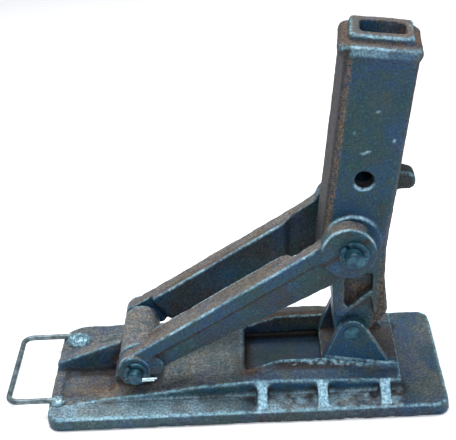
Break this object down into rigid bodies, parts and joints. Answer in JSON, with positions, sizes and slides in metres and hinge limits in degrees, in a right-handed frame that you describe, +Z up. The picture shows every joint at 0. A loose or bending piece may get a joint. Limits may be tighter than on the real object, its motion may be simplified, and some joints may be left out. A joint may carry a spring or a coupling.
{
  "type": "lever socket jack",
  "caption": "Cast-iron toggle jack: upright lever socket with a lifting toe on paired link arms and a sliding shoe, on a flat base with a wire carrying bail.",
  "frame": {"origin": "on the ground under the base plate, in the middle plane of the socket", "axes": "+X along the plate from the carrying bail to the open end of the slide guide, +Y to the rear link arm, +Z up"},
  "size_m": [0.4, 0.154, 0.3393],
  "materials": {
    "painted_casting": "worn blue-green paint over rough cast iron, with dust and rust",
    "dull_steel": "dull, stained",
    "handle_wire": "bare grey-green round bar",
    "weld_metal": "pale lumpy weld metal",
    "bright_wire": "bright new wire"
  },
  "bodies": {
    "base": {"base_casting": "painted_casting", "carry_handle": "handle_wire", "handle_weld_front": "weld_metal", "handle_weld_rear": "weld_metal"},
    "arms": {"link_arm_front": "painted_casting", "link_arm_rear": "painted_casting", "hub_pin": "dull_steel", "head_pin": "dull_steel", "hub_washer_front": "dull_steel", "hub_washer_rear": "dull_steel", "head_washer_front": "dull_steel", "head_washer_rear": "dull_steel", "hub_spacer_front": "dull_steel", "hub_spacer_rear": "dull_steel", "head_spacer_front": "dull_steel", "head_spacer_rear": "dull_steel", "hub_split_pin": "bright_wire", "head_split_pin": "dull_steel"},
    "socket": {"lever_socket": "painted_casting"},
    "shoe": {"slide_shoe": "painted_casting", "shoe_pin": "dull_steel"}
  },
  "joints": [
    {"name": "arm_swing", "type": "hinge", "parent": "base", "child": "arms", "pos_m": [-0.0995, 0, 0.043], "axis": [0, 1, 0], "range_deg": [0, 5.3]},
    {"name": "lever_tilt", "type": "hinge", "parent": "arms", "child": "socket", "pos_m": [0.0955, 0, 0.154], "axis": [0, 1, 0], "range_deg": [0, 34]},
    {"name": "shoe_slide", "type": "slide", "parent": "base", "child": "shoe", "axis": [1, 0, 0], "range_m": [-0.0505, 0]}
  ],
  "couplings": [
    {"joint": "arm_swing", "follows": "lever_tilt", "ratio": 0.1518},
    {"joint": "shoe_slide", "follows": "lever_tilt", "m_per_rad": -0.08425}
  ]
}
